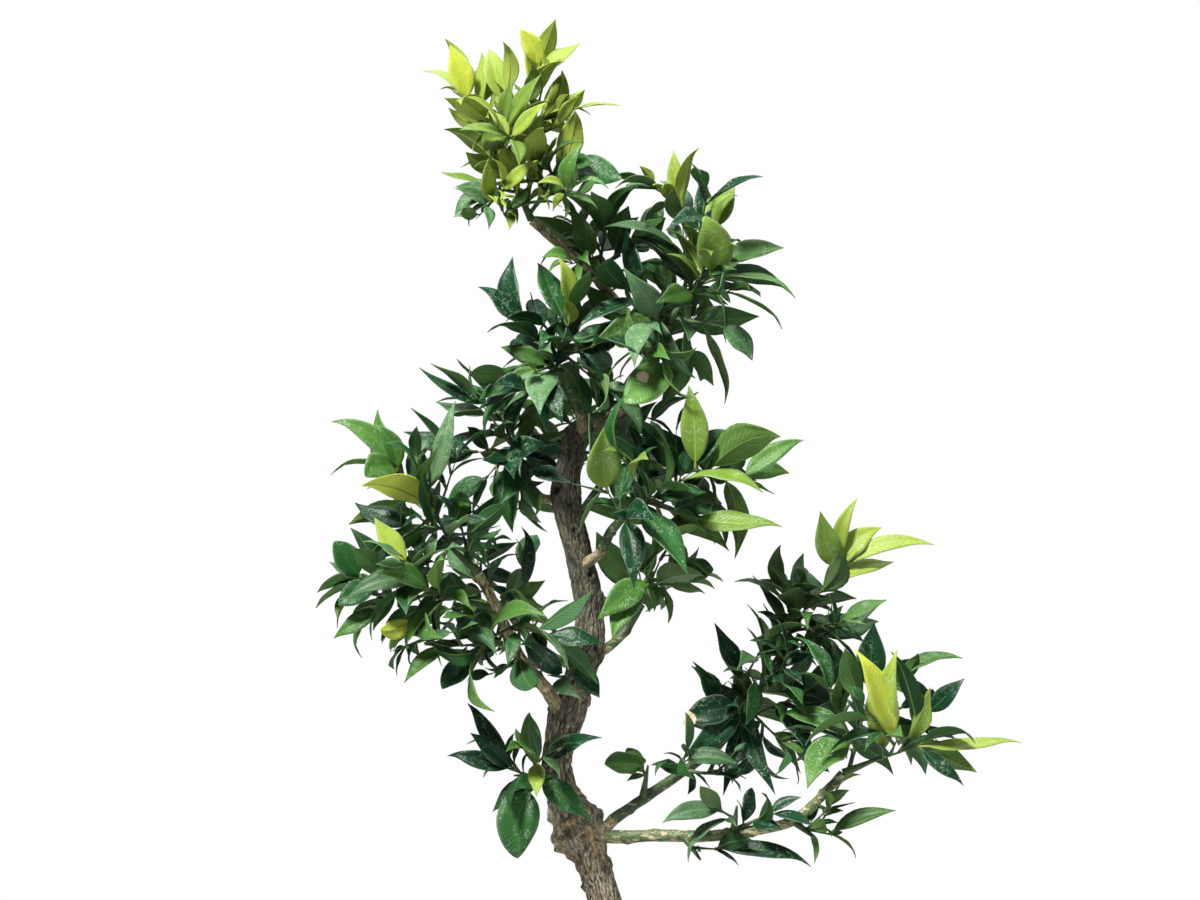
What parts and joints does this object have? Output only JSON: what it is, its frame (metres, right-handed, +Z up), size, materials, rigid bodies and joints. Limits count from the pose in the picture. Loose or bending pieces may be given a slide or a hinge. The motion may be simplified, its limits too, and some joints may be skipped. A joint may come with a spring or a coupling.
{
  "type": "myrtle-leaf orange bonsai",
  "caption": "Small evergreen citrus bonsai with a slim swaying trunk, tiered boughs of narrow pointed leaves and bright young tips, standing in a plain oval clay pot.",
  "frame": {"origin": "centre of the pot's flat underside, on the ground", "axes": "+Z up the tree, +X to the right as seen in the picture, +Y away from the picture's camera"},
  "size_m": [0.3481, 0.207, 0.5995],
  "materials": {
    "trunk_bark": "rough grey-brown bark",
    "bough_bark": "smooth green young bark",
    "leaf_green": "leathery, semi-gloss",
    "leaf_young": "soft, semi-gloss",
    "pot_clay": "matt unglazed clay",
    "soil_grit": "loose matt grit"
  },
  "bodies": {
    "root": {"pot": "pot_clay", "soil": "soil_grit", "trunk": "trunk_bark", "bough_low_right": "bough_bark", "bough_high_right": "bough_bark", "bough_left": "trunk_bark", "bough_right": "bough_bark", "bough_centre_right": "bough_bark", "bough_centre_left": "bough_bark", "bough_leader": "trunk_bark", "bough_crown_left": "bough_bark", "bough_top": "trunk_bark", "bough_back": "bough_bark", "bough_back_low": "bough_bark", "crown_top": "leaf_young", "crown_inner": "leaf_green", "crown_right": "leaf_green", "crown_left": "leaf_green", "centre_left": "leaf_green", "left_upper": "leaf_green", "left_outer": "leaf_green", "left_low": "leaf_green", "centre_right": "leaf_green", "right_mid": "leaf_green", "right_upper": "leaf_green", "right_outer": "leaf_green", "spur_knot": "leaf_green", "spur_low": "leaf_green", "spur_under": "leaf_green", "spur_high": "leaf_green", "spur_fork": "leaf_green", "trunk_cluster": "leaf_green", "trunk_sprout": "leaf_green", "back_high": "leaf_green", "back_low": "leaf_green"}
  },
  "joints": []
}
